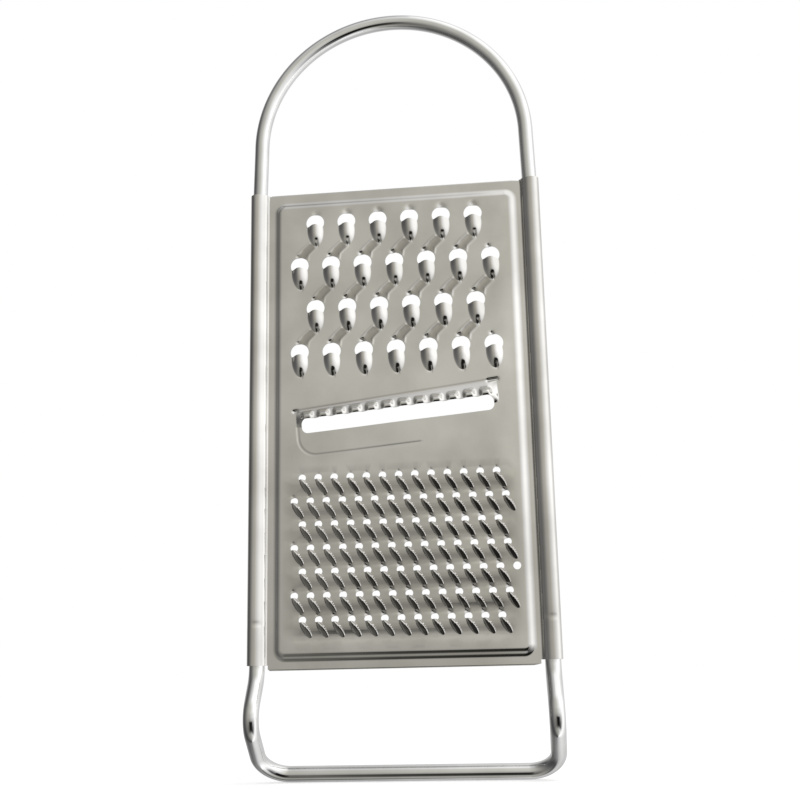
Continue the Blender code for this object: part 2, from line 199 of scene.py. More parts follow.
def makeWireSteel(look):
    material, tree = newMaterial("brightWireSteel")
    places = addNode(tree, "TexCoord", {}).outputs
    drawn = stretched(tree, places["UV"], (look["drawLines"], look["drawLineStretch"], 1.0))
    clouds = cloud(tree, places["Object"], look["cloudSize"], detail=4.0)
    lines = cloud(tree, drawn, 1.0, detail=2.0)
    finishMetal(tree, look, twoTone(tree, clouds, look["dark"], look["light"]), clouds, lines)
    return material


# The pressed sheet

# The sheet is drawn flat, as it is before its sides are rolled and its ends are folded, and
# every point of it is then placed in the round.

sheet = {
    "thickness": 0.3,
    "bottom": 34.6,
    "top": 196.6,
    "frontY": -11.3,
    "gridStep": 2.2,
}

sleeve = {
    "middleX": 46.85,
    "radius": 3.1,
    "bottom": 36.3,
    "top": 196.5,
    "setIn": 0.6,  # how far the roll's centre lies behind the flange's face
    "filletRadius": 0.6,
    "lean": 0.29,  # how much the roll swells towards its outer front
    "leanTurn": 1.5 * math.pi,
    "leanEnds": (0.35, 6.0),  # radians round the roll
    "leanRun": 0.7,
    "steps": 34,
    "filletSteps": 4,
    "rowStep": 2.4,
    "crimpZ": 49.3,
    "crimpWidth": 0.9,
    "crimpDepth": 0.15,
    "crimpAngle": 1.7,  # radians
    "crimpSpan": 0.8,
    "crimpRows": 7,  # above the crimp's middle, and as many below
    "crimpRowStep": 0.35,
    "crimpClear": 2.6,
}

hem = {
    "halfWidth": 43.1,
    "foldRadius": 0.45,
    "depth": 2.15,
    "foldSteps": 8,
}

panel = {
    "middle": (0.26, 115.35),
    "half": (42.1, 78.35),
    "corner": 4.2,
    "rise": 1.1,
    "run": 3.1,
    "bendShare": 0.45,  # of the step's run, for each of its two bends
    "crown": 0.12,
    "crownRun": 8.0,
    "rings": (0.0, 0.15, 0.3, 0.5, 0.7, 0.9, 1.2, 1.5, 1.8, 2.1, 2.3, 2.5, 2.7, 2.85, 3.0, 3.3),
    "ringStep": 1.8,
    "cornerSteps": 10,
    "leastCorner": 0.6,
    "past": 0.1,  # nothing is pressed this far beyond its outline
}

# The panel isn't quite flat: low waves run across and up it.
lowWaves = {
    "acrossHeight": 0.09,
    "acrossRun": 5.3,  # a wave's length over two pi
    "swing": 1.4,
    "swingRun": 15.0,
    "upHeight": 0.10,
    "upRun": 5.9,
    "upSlant": 11.0,
    "upStart": 0.6,
    "edge": 3.0,  # flat as far as this from the panel's outline
    "edgeRun": 8.0,
}

coarseTeeth = {
    "rows": 4,
    "shortRow": 6,
    "pitch": 10.87,
    "rowSpacing": 15.42,
    "topRowZ": 185.0,
    "holeRadius": 3.1,
    "lipDrop": 1.5,
    "lipBulge": 0.55,
    "baseHalf": 2.9,
    "tailBlunt": 2.6,
    "length": 7.0,
    "height": 1.5,
    "ridgeCurve": 2.0,
    "ridgePower": 0.78,
    "leftCurve": (2.0, 1.7),  # by the lip and by the tail
    "rightCurve": (2.0, 1.7),
    "curveChange": 1.0,
    "sectionPower": 1.5,
    "tailShift": 0.35,
    "rowWave": 0.04,
    "topSpot": (0.35, 0.15, 1.25, 0.5),  # a pit over the top row's holes: its place, reach, depth
    "spot": (-0.5, 0.3, 0.65, 0.45),  # and over the others, both from the hole's top edge
    "lipPoints": 17,
    "holePoints": 26,
    "ridgePoints": 17,
    "rings": (1.03, 1.08, 1.18, 1.34),
}

fineTeeth = {
    "rows": 7,
    "shortRow": 13,
    "pitch": 5.3,
    "rowSpacing": 7.65,
    "topRowZ": 96.0,
    "holeRadius": 1.25,
    "lipDrop": 0.8,
    "lipBulge": 0.2,
    "baseHalf": 1.35,
    "tailBlunt": 4.5,
    "length": 4.8,
    "height": 1.45,
    "ridgeCurve": 1.0,
    "ridgePower": 1.0,
    "leftCurve": (6.0, 7.0),
    "rightCurve": (1.55, 7.0),
    "curveChange": 1.6,
    "sectionPower": 1.0,
    "tailShift": 2.5,
    "rowWave": 0.2,
    "topSpot": (0.0, 0.05, 0.5, 0.14),
    "spot": (-0.3, 0.2, 0.68, 0.42),
    "lipPoints": 9,
    "holePoints": 14,
    "ridgePoints": 11,
    "rings": (1.04, 1.12, 1.3),
    "spareRow": 4,
    "spareX": 37.1,
    "sparePoints": 20,
}

# What both kinds of tooth share, in parts of their own sizes.
toothForm = {
    "lipOver": 1.02,
    "widening": 0.3,
    "sink": 0.55,
    "ringDrop": 0.8,
    "near": 1.5,
    "tailHalf": 0.001,  # millimetres, so that the tail isn't a point
}

toothField = {
    "run": 5.0,  # the rows' waves grow over this, at the top and the bottom
    "below": 6.0,
    "halfWidth": 38.0,
    "sideRun": 6.0,
}

# The pits and creases are pressed less deep on the left.
pressing = {
    "least": 0.45,
    "from": -34.0,
    "run": 26.0,
}

tailDent = {
    "depth": 0.3,
    "left": 1.0,
    "right": 0.32,
    "shift": 0.372,
    "lift": 1.2,
    "reach": 1.5,
}

# Two creases run from a coarse tooth's tail down to the next row's hole, with a shallow trough
# between them. They are given from the middle of the tooth's hole.
creases = {
    "lines": (
        ((-2.2, -7.4), (-4.4, -9.3), (-6.13, -11.2)),
        ((0.6, -8.9), (-1.3, -10.6), (-2.3, -11.7), (-2.6, -13.6)),
    ),
    "height": 0.15,
    "half": 0.42,
    "trough": ((-1.6, -8.9), (-3.3, -10.5), (-4.4, -12.3)),
    "troughDepth": 0.16,
    "troughHalf": 1.25,
    "fromX": -32.0,  # the teeth further to the left have none
    "step": 0.4,
    "offsets": (0.0, 0.15, -0.15, 0.3, -0.3, 0.48, -0.48, 0.7, -0.7, 1.0, -1.0),
}

slicer = {
    "middleZ": 115.8,
    "tilt": math.radians(4.8),
    "halfLength": 32.05,
    "halfHeight": 2.25,
    "endRadius": 2.0,
    "lipHeight": 2.0,
    "heightGain": 0.009,  # per millimetre to the right
    "lipRamp": 4.1,
    "lipStart": 0.25,  # above the fold
    "lipBend": 0.1,  # of the ramp
    "foldTilt": 0.034,
    "overhang": 1.7,
    "endRun": 3.9,
    "endFade": 2.6,
    "ripples": 12,
    "ripplePitch": 5.4,
    "ripplePoints": 12,
    "rippleWidth": 4.7,
    "rippleFlat": 0.18,  # of the width, to each side of its middle
    "rippleFlank": 0.32,
    "rippleMiddle": 1.3,  # above the slot's upper edge
    "rippleReach": 2.1,
    "rippleHeight": 1.15,
    "foldDip": 0.13,
    "foldHalf": 0.8,
    "foldGap": 0.35,
    "foldEndRun": 1.2,
    "foldPits": ((-34.2, -33.3), (31.0, 33.9)),
    "pitReach": 0.6,
    "pitDepth": 0.34,
    "pressedHalf": (37.0, 16.0),  # nothing of the slot or the groove is pressed beyond this
    "cornerSteps": 8,
    "lipRows": (2.4, 2.6, 2.8, 3.05, 3.3, 3.55, 3.8, 4.1, 4.4, 4.7, 5.0, 5.3),
    "foldRows": (-1.0, -0.5, -0.25, 0.0, 0.25, 0.5, 0.75, 1.0, 1.3, 1.8),
    "foldRowReach": 3.9,
    "foldRowStep": 0.5,
    "lowRows": (-2.6, -3.2, -4.4),
    "lowRowStep": 1.2,
    "endColumns": 15,
    "endColumnStep": 0.35,
    "endColumnSpan": (-3.2, 8.0),
}

# How much painted shade darkens the steel, standing in for dark reflections.
paintedShade = {
    "bands": 0.9,  # between each pair of creases
    "bandHalf": 1.75,
    "bandEdge": 0.8,
    "field": 0.5,  # among the fine teeth
    "fieldTop": 98.0,
    "fieldBottom": 44.0,
    "fieldHalf": 40.0,
    "fieldEdge": 4.0,
}

groove = {
    "reach": 33.5,
    "drop": 10.0,
    "run": 40.0,
    "bend": 6.0,
    "halfWidth": 0.8,
    "depth": 0.13,
    "bendSteps": 12,
    "step": 0.8,
    "offsets": (0.0, 0.2, -0.2, 0.4, -0.4, 0.62, -0.62, 0.9, -0.9),
}

# How closely the sheet's points lie, and how close a new one may come to those before it.
spacing = {
    "closeGap": 0.12,
    "middleGap": 0.2,
    "wideGap": 0.3,
    "hemGap": 0.1,
    "inset": 1.0,
    "groundGap": 0.45,  # of the grid's step
    "toothGap": 0.02,  # of the hole's radius
    "ringGap": 0.045,
    "lipShares": (0.02, 0.05, 0.1),  # of the tooth's length
    "scoopOut": 0.035,
    "scoopPoints": 5,  # across it, at least
    "spotRings": (0.3, 0.6, 0.9, 1.25, 1.7),
    "spotPoints": (5, 9),  # in a ring: at least, and more for each reach outwards
    "spotGap": 0.2,  # of the spot's reach
    "spotClear": 1.04,
    "slotGap": 0.05,
    "slopeStep": 0.015,
    "mergeGap": 1e-5,
}


def toothPlaces(teeth):
    # Rows alternate between a short and a long one, each centred on the sheet.
    places = []
    for row in range(teeth["rows"]):
        count = teeth["shortRow"] + row % 2
        for column in range(count):
            x = (column - (count - 1) / 2) * teeth["pitch"]
            places.append((row, x, teeth["topRowZ"] - row * teeth["rowSpacing"]))
    return places


def creasedPlaces():
    return [(x, z) for row, x, z in toothPlaces(coarseTeeth) if row < coarseTeeth["rows"] - 1]


def toothWidth(teeth, t):
    # Half the scoop's width, t of the way from the lip to the tail.
    halfLip = math.sqrt(teeth["holeRadius"] ** 2 - teeth["lipDrop"] ** 2) * toothForm["lipOver"]
    widest = halfLip + (teeth["baseHalf"] - halfLip) * soften(t / toothForm["widening"])
    return widest * np.sqrt(1.0 - t ** teeth["tailBlunt"]) + toothForm["tailHalf"]


def lineDistance(a, b, line):
    nearest = np.full(a.shape, np.inf)
    for (a0, b0), (a1, b1) in zip(line, line[1:]):
        da = a1 - a0
        db = b1 - b0
        t = np.clip(((a - a0) * da + (b - b0) * db) / (da * da + db * db), 0.0, 1.0)
        nearest = np.minimum(nearest, np.hypot(a - a0 - t * da, b - b0 - t * db))
    return nearest


def rowWaves(x, z, teeth):
    # The strips between the rows lean a little.
    fromTop = z - teeth["topRowZ"]
    span = (teeth["rows"] - 0.5) * teeth["rowSpacing"]
    inField = soften(1.0 - fromTop / toothField["run"])
    inField *= soften((fromTop + span + toothField["below"]) / toothField["run"])
    inField *= soften((toothField["halfWidth"] - np.abs(x)) / toothField["sideRun"])
    return teeth["rowWave"] * np.sin(fromTop * 2 * math.pi / teeth["rowSpacing"]) * inField


def toothShape(across, up, teeth):
    below = (-teeth["lipDrop"] - up) / teeth["length"]
    t = np.clip(below, 0.0, 1.0)
    u = np.clip((across - t * teeth["tailShift"]) / toothWidth(teeth, t), -1.0, 1.0)
    ridge = teeth["height"] * (1.0 - t ** teeth["ridgeCurve"]) ** teeth["ridgePower"]
    lipLeft, tailLeft = teeth["leftCurve"]
    lipRight, tailRight = teeth["rightCurve"]
    change = np.minimum(t * teeth["curveChange"], 1.0)
    left = lipLeft + (tailLeft - lipLeft) * change
    right = lipRight + (tailRight - lipRight) * change
    section = (1.0 - np.abs(u) ** np.where(u < 0, left, right)) ** teeth["sectionPower"]
    # it sinks back over the hole, above the lip
    over = (-below * teeth["length"] - teeth["lipBulge"]) / (toothForm["sink"] * teeth["holeRadius"])
    return ridge * section * (1.0 - soften(over))


def dentDepth(across, up):
    # A dent by the tail, steep on its right.
    beside = across - coarseTeeth["tailShift"] - tailDent["shift"]
    beside /= np.where(beside < 0, tailDent["left"], tailDent["right"])
    tailZ = -coarseTeeth["lipDrop"] - coarseTeeth["length"]
    above = (up - tailZ - tailDent["lift"]) / tailDent["reach"]
    return tailDent["depth"] * np.exp(-beside ** 2 - above ** 4)


def creaseRise(across, up, share):
    away = lineDistance(across, up, creases["trough"])
    rise = -creases["troughDepth"] * np.exp(-(away / creases["troughHalf"]) ** 2)
    for line in creases["lines"]:
        away = lineDistance(across, up, line)
        rise += share * creases["height"] * np.exp(-(away / creases["half"]) ** 2)
    return rise


def addTeethRise(rise, x, z, teeth):
    rise -= rowWaves(x, z, teeth)
    creased = creasedPlaces() if teeth is coarseTeeth else []
    near = teeth["pitch"] * toothForm["near"]
    for row, toothX, toothZ in toothPlaces(teeth):
        close = (np.abs(x - toothX) < near) & (np.abs(z - toothZ) < toothForm["near"] * near)
        found = np.nonzero(close)[0]
        if not len(found):
            continue
        across = x[found] - toothX
        up = z[found] - toothZ
        shape = toothShape(across, up, teeth)
        left = soften((toothX - pressing["from"]) / pressing["run"])
        share = pressing["least"] + (1.0 - pressing["least"]) * left
        if teeth is coarseTeeth:
            shape -= dentDepth(across, up)
        if (toothX, toothZ) in creased and toothX > creases["fromX"]:
            shape += creaseRise(across, up, share)
        spotX, spotZ, reach, depth = teeth["spot"] if row else teeth["topSpot"]
        away = np.hypot(across - spotX, up - teeth["holeRadius"] - spotZ)
        shape -= depth * share * np.exp(-(away / reach) ** 2)
        rise[found] += shape


tiltCos = math.cos(slicer["tilt"])
tiltSin = math.sin(slicer["tilt"])


def slantedPlace(x, z):
    # a runs along the slot and b across it
    up = z - slicer["middleZ"]
    return x * tiltCos + up * tiltSin, up * tiltCos - x * tiltSin


def fromSlant(a, b):
    return a * tiltCos - b * tiltSin, slicer["middleZ"] + a * tiltSin + b * tiltCos


def foldHeight(a):
    return slicer["halfHeight"] + slicer["lipRamp"] + slicer["foldTilt"] * a


def lipRise(a, b):
    top = foldHeight(a)
    start = top + slicer["lipStart"]
    bend = slicer["lipBend"]
    down = np.clip((start - b) / (start - slicer["halfHeight"]), 0.0, 1.0)
    ramp = np.where(down < bend, down * down / (2 * bend), down - bend / 2) / (1.0 - bend / 2)
    reach = slicer["halfLength"] + slicer["overhang"]
    end = np.clip((reach - np.abs(a)) / slicer["endRun"], 0.0, 1.0)
    end = 1.0 - (1.0 - end) ** 2
    fade = 1.0 - soften((slicer["halfHeight"] - b) / slicer["endFade"])
    rise = (slicer["lipHeight"] + slicer["heightGain"] * a) * ramp * end * fade

    place = a / slicer["ripplePitch"] + slicer["ripples"] / 2
    inside = (place > 0) & (place < slicer["ripples"])
    beside = (place - np.floor(place) - 0.5) * slicer["ripplePitch"] / slicer["rippleWidth"]
    wave = 1.0 - soften((np.abs(beside) - slicer["rippleFlat"]) / slicer["rippleFlank"])
    above = (b - slicer["halfHeight"] - slicer["rippleMiddle"]) / slicer["rippleReach"]
    along = np.cos(np.clip(above, -1.0, 1.0) * math.pi / 2) ** 2
    rise += slicer["rippleHeight"] * wave * along * inside

    # the fold above the lip, with a pressed pit at each end of it
    over = b - top - slicer["foldGap"]
    fold = np.clip(np.abs(over) / slicer["foldHalf"], 0.0, 1.0)
    ends = 1.0 - soften((np.abs(a) - reach) / slicer["foldEndRun"])
    rise -= slicer["foldDip"] * np.cos(fold * math.pi / 2) ** 2 * ends
    for start, stop in slicer["foldPits"]:
        away = np.hypot(a - np.clip(a, start, stop), over)
        rise -= slicer["pitDepth"] * np.exp(-(away / slicer["pitReach"]) ** 2)
    return rise


def grooveLine():
    reach = -groove["reach"]
    drop = -groove["drop"]
    bend = groove["bend"]
    line = [(reach, 0.0)]
    line += arc(reach + bend, drop + bend, bend, math.pi, math.pi / 2, groove["bendSteps"])
    line.append((reach + groove["run"], drop))
    return line


def grooveDepth(a, b):
    away = np.clip(lineDistance(a, b, grooveLine()) / groove["halfWidth"], 0.0, 1.0)
    return groove["depth"] * np.cos(away * math.pi / 2) ** 2


def panelDepth(x, z):
    # How far a point lies inside the panel's rounded outline.
    middleX, middleZ = panel["middle"]
    halfX, halfZ = panel["half"]
    cornerX = np.abs(x - middleX) - (halfX - panel["corner"])
    cornerZ = np.abs(z - middleZ) - (halfZ - panel["corner"])
    outside = np.hypot(np.maximum(cornerX, 0.0), np.maximum(cornerZ, 0.0))
    return panel["corner"] - outside - np.minimum(np.maximum(cornerX, cornerZ), 0.0)


def rampShape(t, bend):
    # A straight slope from 0 to 1, with a round bend at each end.
    t = np.clip(t, 0.0, 1.0)
    foot = t * t / (2 * bend)
    head = 1.0 - bend - (1.0 - t) ** 2 / (2 * bend)
    height = np.where(t < bend, foot, np.where(t > 1.0 - bend, head, t - bend / 2))
    return height / (1.0 - bend)


def sheetRise(x, z):
    # How far the pressed face stands out from the flange's face.
    depth = panelDepth(x, z)
    rise = panel["rise"] * rampShape(depth / panel["run"], panel["bendShare"])
    rise += panel["crown"] * (soften(depth / panel["crownRun"]) - 1.0) * soften(depth / panel["run"])
    swing = lowWaves["swing"] * np.sin(z / lowWaves["swingRun"])
    waves = lowWaves["acrossHeight"] * np.sin(x / lowWaves["acrossRun"] + swing)
    upward = z / lowWaves["upRun"] + x / lowWaves["upSlant"] + lowWaves["upStart"]
    waves += lowWaves["upHeight"] * np.sin(upward)
    rise += waves * soften((depth - lowWaves["edge"]) / lowWaves["edgeRun"])
    addTeethRise(rise, x, z, coarseTeeth)
    addTeethRise(rise, x, z, fineTeeth)
    a, b = slantedPlace(x, z)
    halfA, halfB = slicer["pressedHalf"]
    near = (np.abs(a) < halfA) & (np.abs(b) < halfB)
    rise[near] += lipRise(a[near], b[near]) - grooveDepth(a[near], b[near])
    return rise


# Painted shade: how far each point is darkened to stand in for dark reflections, in bands between the
# creases and over the fine teeth.
def sheetPaintedShade(x, z):
    amount = np.zeros(x.shape)
    for toothX, toothZ in creasedPlaces():
        if toothX > creases["fromX"]:
            away = lineDistance(x - toothX, z - toothZ, creases["trough"])
            band = paintedShade["bands"] * soften((paintedShade["bandHalf"] - away) / paintedShade["bandEdge"])
            amount = np.maximum(amount, band)
    edge = paintedShade["fieldEdge"]
    field = soften((paintedShade["fieldTop"] - z) / edge) * soften((z - paintedShade["fieldBottom"]) / edge)
    field *= soften((paintedShade["fieldHalf"] - np.abs(x)) / edge)
    return np.maximum(amount, paintedShade["field"] * field)


# The sheet turns up round a small fillet before it rolls round the wire.
filletRadius = sleeve["filletRadius"]
centreGap = sleeve["radius"] + filletRadius
centreDepth = sleeve["setIn"] + filletRadius
rollStart = sleeve["middleX"] - math.sqrt(centreGap ** 2 - centreDepth ** 2)
filletTurn = math.acos(centreDepth / centreGap)
filletEnd = rollStart + filletRadius * filletTurn
rollTurn = 2 * filletTurn + math.pi
rollEnd = filletEnd + sleeve["radius"] * rollTurn
foldRadius = hem["foldRadius"]
foldLength = math.pi * foldRadius
foldTop = sheet["top"] - foldRadius
foldBottom = sheet["bottom"] + foldRadius
hemLength = foldLength + hem["depth"]
panelReach = panel["half"][0] + panel["middle"][0] + panel["past"]


def placeSheet(p, q):
    # Takes a point of the flat sheet to its place in the round.
    side = np.where(p < 0, -1.0, 1.0)
    reach = np.abs(p)
    z = q.copy()
    over = np.where(reach < rollStart, np.maximum(q - foldTop, foldBottom - q), -1.0)
    x = np.minimum(reach, rollStart)
    out = np.zeros(p.shape)
    flat = (over <= 0) & (reach < panelReach)
    out[flat] = sheetRise(p[flat], q[flat])

    turn = np.clip((reach - rollStart) / filletRadius, 0.0, filletTurn)
    x += filletRadius * np.sin(turn)
    out += filletRadius * (1.0 - np.cos(turn))
    rolled = reach > filletEnd
    angle = math.pi / 2 - filletTurn + (reach - filletEnd) / sleeve["radius"]
    crimpUp = (q - sleeve["crimpZ"]) / sleeve["crimpWidth"]
    crimpRound = (angle - sleeve["crimpAngle"]) / sleeve["crimpSpan"]
    crimp = np.exp(-crimpUp ** 2 - crimpRound ** 2)
    first, last = sleeve["leanEnds"]
    swell = np.cos(2 * angle - sleeve["leanTurn"])
    swell *= soften((angle - first) / sleeve["leanRun"]) * soften((last - angle) / sleeve["leanRun"])
    radius = sleeve["radius"] + sleeve["lean"] * swell - sleeve["crimpDepth"] * crimp
    x = np.where(rolled, sleeve["middleX"] - radius * np.cos(angle), x)
    out = np.where(rolled, radius * np.sin(angle) - sleeve["setIn"], out)

    folded = over > 0
    turn = np.clip(over / foldRadius, 0.0, math.pi)
    height = foldRadius * np.sin(turn) - np.maximum(over - foldLength, 0.0)
    z = np.where(folded & (q > foldTop), foldTop + height, z)
    z = np.where(folded & (q < foldBottom), foldBottom - height, z)
    out = np.where(folded, -foldRadius * (1.0 - np.cos(turn)), out)
    return np.stack((side * x, sheet["frontY"] - out, z), axis=1)


class Drawing:
    # The flat sheet's points, the lines that its faces keep to, and its holes.
    def __init__(self):
        self.points = []
        self.edges = []
        self.outlines = []
        self.cells = {}

    def cell(self, point):
        return math.floor(point[0]), math.floor(point[1])

    def crowded(self, point, gap):
        column, row = self.cell(point)
        for i in (column - 1, column, column + 1):
            for j in (row - 1, row, row + 1):
                for other in self.cells.get((i, j), ()):
                    if math.dist(other, point) < gap:
                        return True
        return False

    def put(self, point):
        self.points.append((float(point[0]), float(point[1])))
        self.cells.setdefault(self.cell(point), []).append(self.points[-1])
        return len(self.points) - 1

    def fill(self, points, gap):
        for point in points:
            if not self.crowded(point, gap):
                self.put(point)

    def fillSlanted(self, points, gap):
        self.fill([fromSlant(*point) for point in points], gap)

    def line(self, points, closed=False):
        numbers = [self.put(point) for point in points]
        self.edges += list(zip(numbers, numbers[1:]))
        if closed:
            self.edges.append((numbers[-1], numbers[0]))
        return numbers

    def outline(self, points):
        self.outlines.append(self.line(points, closed=True))


def drawBorder(drawing):
    half = hem["halfWidth"]
    notch = (half + rollStart) / 2
    bottom = foldBottom - hemLength
    top = foldTop + hemLength
    right = [
        (half, bottom), (half, foldBottom), (notch, foldBottom), (notch, sleeve["bottom"]),
        (rollEnd, sleeve["bottom"]), (rollEnd, sleeve["top"]), (notch, sleeve["top"]),
        (notch, foldTop), (half, foldTop), (half, top),
    ]
    corners = right + [(-x, z) for x, z in reversed(right)]
    loop = []
    for start, end in zip(corners, corners[1:] + corners[:1]):
        upright = abs(end[1] - start[1]) > abs(end[0] - start[0])
        step = sleeve["rowStep"] if upright else sleeve["radius"] * rollTurn / sleeve["steps"]
        if abs(end[0] - start[0]) > half:
            step = sheet["gridStep"]
        loop += between(start, end, step)
    drawing.outline(loop)


def toothLines(teeth, x, z):
    # The hole's outline, the scoop's, and the scoop's half widths from the lip to the tail.
    radius = teeth["holeRadius"]
    drop = teeth["lipDrop"]
    start = math.asin(drop / radius)
    halfLip = math.sqrt(radius ** 2 - drop ** 2)
    hole = []
    for i in range(teeth["lipPoints"]):
        u = 2 * i / (teeth["lipPoints"] - 1) - 1
        hole.append((x + halfLip * u, z - drop + teeth["lipBulge"] * (1 - u * u) ** 2))
    hole += arc(x, z, radius, -start, math.pi + 2 * start, teeth["holePoints"])[1:-1]
    side = []
    for i in range(teeth["ridgePoints"]):
        t = math.sin(math.pi / 2 * i / (teeth["ridgePoints"] - 1))
        half = toothWidth(teeth, t) + spacing["scoopOut"]
        side.append((half, x + t * teeth["tailShift"], z - drop - t * teeth["length"]))
    scoop = [(middle - half, lineZ) for half, middle, lineZ in side[:-1]]
    scoop.append(side[-1][1:])
    scoop += [(middle + half, lineZ) for half, middle, lineZ in reversed(side[:-1])]
    return hole, scoop, side


def drawSpot(drawing, teeth, row, x, z):
    # Rings of points round the pit above a hole.
    spotX, spotZ, reach, depth = teeth["spot"] if row else teeth["topSpot"]
    radius = teeth["holeRadius"]
    least, more = spacing["spotPoints"]
    for distance in spacing["spotRings"]:
        count = round(least + more * distance)
        turn = 2 * math.pi * distance / count
        ring = arc(spotX, radius + spotZ, distance * reach, turn, 2 * math.pi, count)[:-1]
        clear = [point for point in ring if math.hypot(*point) > spacing["spotClear"] * radius]
        drawing.fill([(x + px, z + pz) for px, pz in clear], spacing["spotGap"] * reach)


def drawTeeth(drawing, teeth):
    radius = teeth["holeRadius"]
    gap = spacing["toothGap"] * radius
    places = toothPlaces(teeth)
    lip = teeth["lipPoints"]
    for row, x, z in places:
        hole, scoop, side = toothLines(teeth, x, z)
        drawing.outline(hole)
        drawing.line(scoop)
        for half, middle, lineZ in side[1:-1]:
            count = round((lip + spacing["scoopPoints"]) * half / radius)
            count = max(spacing["scoopPoints"], count)
            line = [(middle - half * math.cos(math.pi * i / count), lineZ) for i in range(1, count)]
            drawing.fill(line, gap)
        for share in spacing["lipShares"]:
            low = share * teeth["length"]
            drawing.fill([(px, pz - low) for px, pz in hole[:lip]], gap)
        drawSpot(drawing, teeth, row, x, z)
    for scale in teeth["rings"]:
        for row, x, z in places:
            hole, scoop, side = toothLines(teeth, x, z)
            middle = z - toothForm["ringDrop"] * radius
            around = hole[lip:] + scoop
            ring = [(x + (px - x) * scale, middle + (pz - middle) * scale) for px, pz in around]
            drawing.fill(ring, spacing["ringGap"] * radius)


def slotCorner(sideA, sideB, turn):
    # A quarter circle, clockwise from so many quarter turns.
    corner = slicer["endRadius"]
    a = sideA * (slicer["halfLength"] - corner)
    b = sideB * (slicer["halfHeight"] - corner)
    return arc(a, b, corner, math.pi / 2 * turn, -math.pi / 2, slicer["cornerSteps"])


def drawSlicer(drawing):
    half = slicer["halfLength"]
    high = slicer["halfHeight"]
    corner = slicer["endRadius"]
    inset = spacing["inset"]
    fine = slicer["ripplePitch"] / slicer["ripplePoints"]
    low = half - corner - inset
    slot = between((corner - half, high), (half - corner, high), fine)
    slot += slotCorner(1, 1, 1) + slotCorner(1, -1, 0)
    slot += between((low, -high), (-low, -high), slicer["lowRowStep"])
    slot += slotCorner(-1, -1, -1) + slotCorner(-1, 1, 2)[:-1]
    kept = [slot[0]]
    for point in slot[1:]:
        if math.dist(point, kept[-1]) > spacing["slotGap"]:
            kept.append(point)
    drawing.outline([fromSlant(*point) for point in kept])

    for b in slicer["lipRows"]:
        drawing.fillSlanted(between((inset - half, b), (half - inset, b), fine), spacing["closeGap"])
    reach = half + slicer["foldRowReach"]
    for above in slicer["foldRows"]:
        row = between((-reach, above), (reach, above), slicer["foldRowStep"])
        drawing.fillSlanted([(a, foldHeight(a) + b) for a, b in row], spacing["middleGap"])
    start, stop = slicer["endColumnSpan"]
    step = slicer["endColumnStep"]
    for side in (-1, 1):
        for i in range(slicer["endColumns"]):
            a = side * (half - inset + step * i)
            drawing.fillSlanted(between((a, start), (a, stop), step), spacing["middleGap"])
    for b in slicer["lowRows"]:
        drawing.fillSlanted(between((-half, b), (half, b), slicer["lowRowStep"]), spacing["wideGap"])


def besideLine(line, offset):
    row = []
    for i, point in enumerate(line):
        before = line[max(i - 1, 0)]
        after = line[min(i + 1, len(line) - 1)]
        length = math.dist(before, after)
        row.append((
            point[0] - (after[1] - before[1]) / length * offset,
            point[1] + (after[0] - before[0]) / length * offset,
        ))
    return row


def drawGroove(drawing):
    corners = grooveLine()
    line = along(corners, groove["step"]) + corners[-1:]
    for offset in groove["offsets"]:
        drawing.fillSlanted(besideLine(line, offset), spacing["closeGap"])


def drawCreases(drawing):
    rows = []
    for crease in creases["lines"]:
        line = along(crease, creases["step"])
        rows += [besideLine(line, offset) for offset in creases["offsets"]]
    for x, z in creasedPlaces():
        for row in rows:
            drawing.fill([(x + px, z + pz) for px, pz in row], spacing["closeGap"])


def drawPanelStep(drawing):
    middleX, middleZ = panel["middle"]
    halfX, halfZ = panel["half"]
    for depth in panel["rings"]:
        corner = max(panel["corner"] - depth, panel["leastCorner"])
        inset = depth + corner
        loop = []
        for turn, (sideX, sideZ) in enumerate(((1, 1), (-1, 1), (-1, -1), (1, -1))):
            x = middleX + sideX * (halfX - inset)
            z = middleZ + sideZ * (halfZ - inset)
            loop += arc(x, z, corner, math.pi / 2 * turn, math.pi / 2, panel["cornerSteps"])
        drawing.line(along(loop + loop[:1], panel["ringStep"]), closed=True)


def drawRolls(drawing):
    span = sleeve["radius"] * rollTurn
    columns = [filletEnd + span * i / sleeve["steps"] for i in range(sleeve["steps"])]
    span = filletEnd - rollStart
    columns += [rollStart + span * i / sleeve["filletSteps"] for i in range(sleeve["filletSteps"])]
    # the rows lie closer at the crimp
    middle = sleeve["crimpZ"]
    count = sleeve["crimpRows"]
    rows = [z for x, z in between((0, sleeve["bottom"]), (0, sleeve["top"]), sleeve["rowStep"])][1:]
    rows = [z for z in rows if abs(z - middle) > sleeve["crimpClear"]]
    rows += [middle + i * sleeve["crimpRowStep"] for i in range(-count, count + 1)]
    for side in (-1, 1):
        for x in columns:
            drawing.line([(side * x, z) for z in sorted(rows)])


def drawHems(drawing):
    half = hem["halfWidth"]
    step = sheet["gridStep"]
    inset = spacing["inset"]
    for i in range(hem["foldSteps"] + 1):
        over = foldLength * i / hem["foldSteps"]
        for z in (foldTop + over, foldBottom - over):
            drawing.fill(between((inset / 2 - half, z), (half, z), step), spacing["hemGap"])
    for z in (foldTop + foldLength + inset, foldBottom - foldLength - inset):
        drawing.fill(between((inset - half, z), (half, z), step), spacing["wideGap"])


def drawSpareHole(drawing):
    x = fineTeeth["spareX"]
    z = fineTeeth["topRowZ"] - fineTeeth["spareRow"] * fineTeeth["rowSpacing"]
    rim = arc(x, z, fineTeeth["holeRadius"], 0.0, 2 * math.pi, fineTeeth["sparePoints"])
    drawing.outline(rim[:-1])


def drawGround(drawing):
    step = sheet["gridStep"]
    half = panel["half"][0]
    for middle, z in between((0, sheet["bottom"]), (0, sheet["top"]), step)[1:]:
        row = between((-half, z), (half, z), step) + [(half, z)]
        drawing.fill(row, spacing["groundGap"] * step)


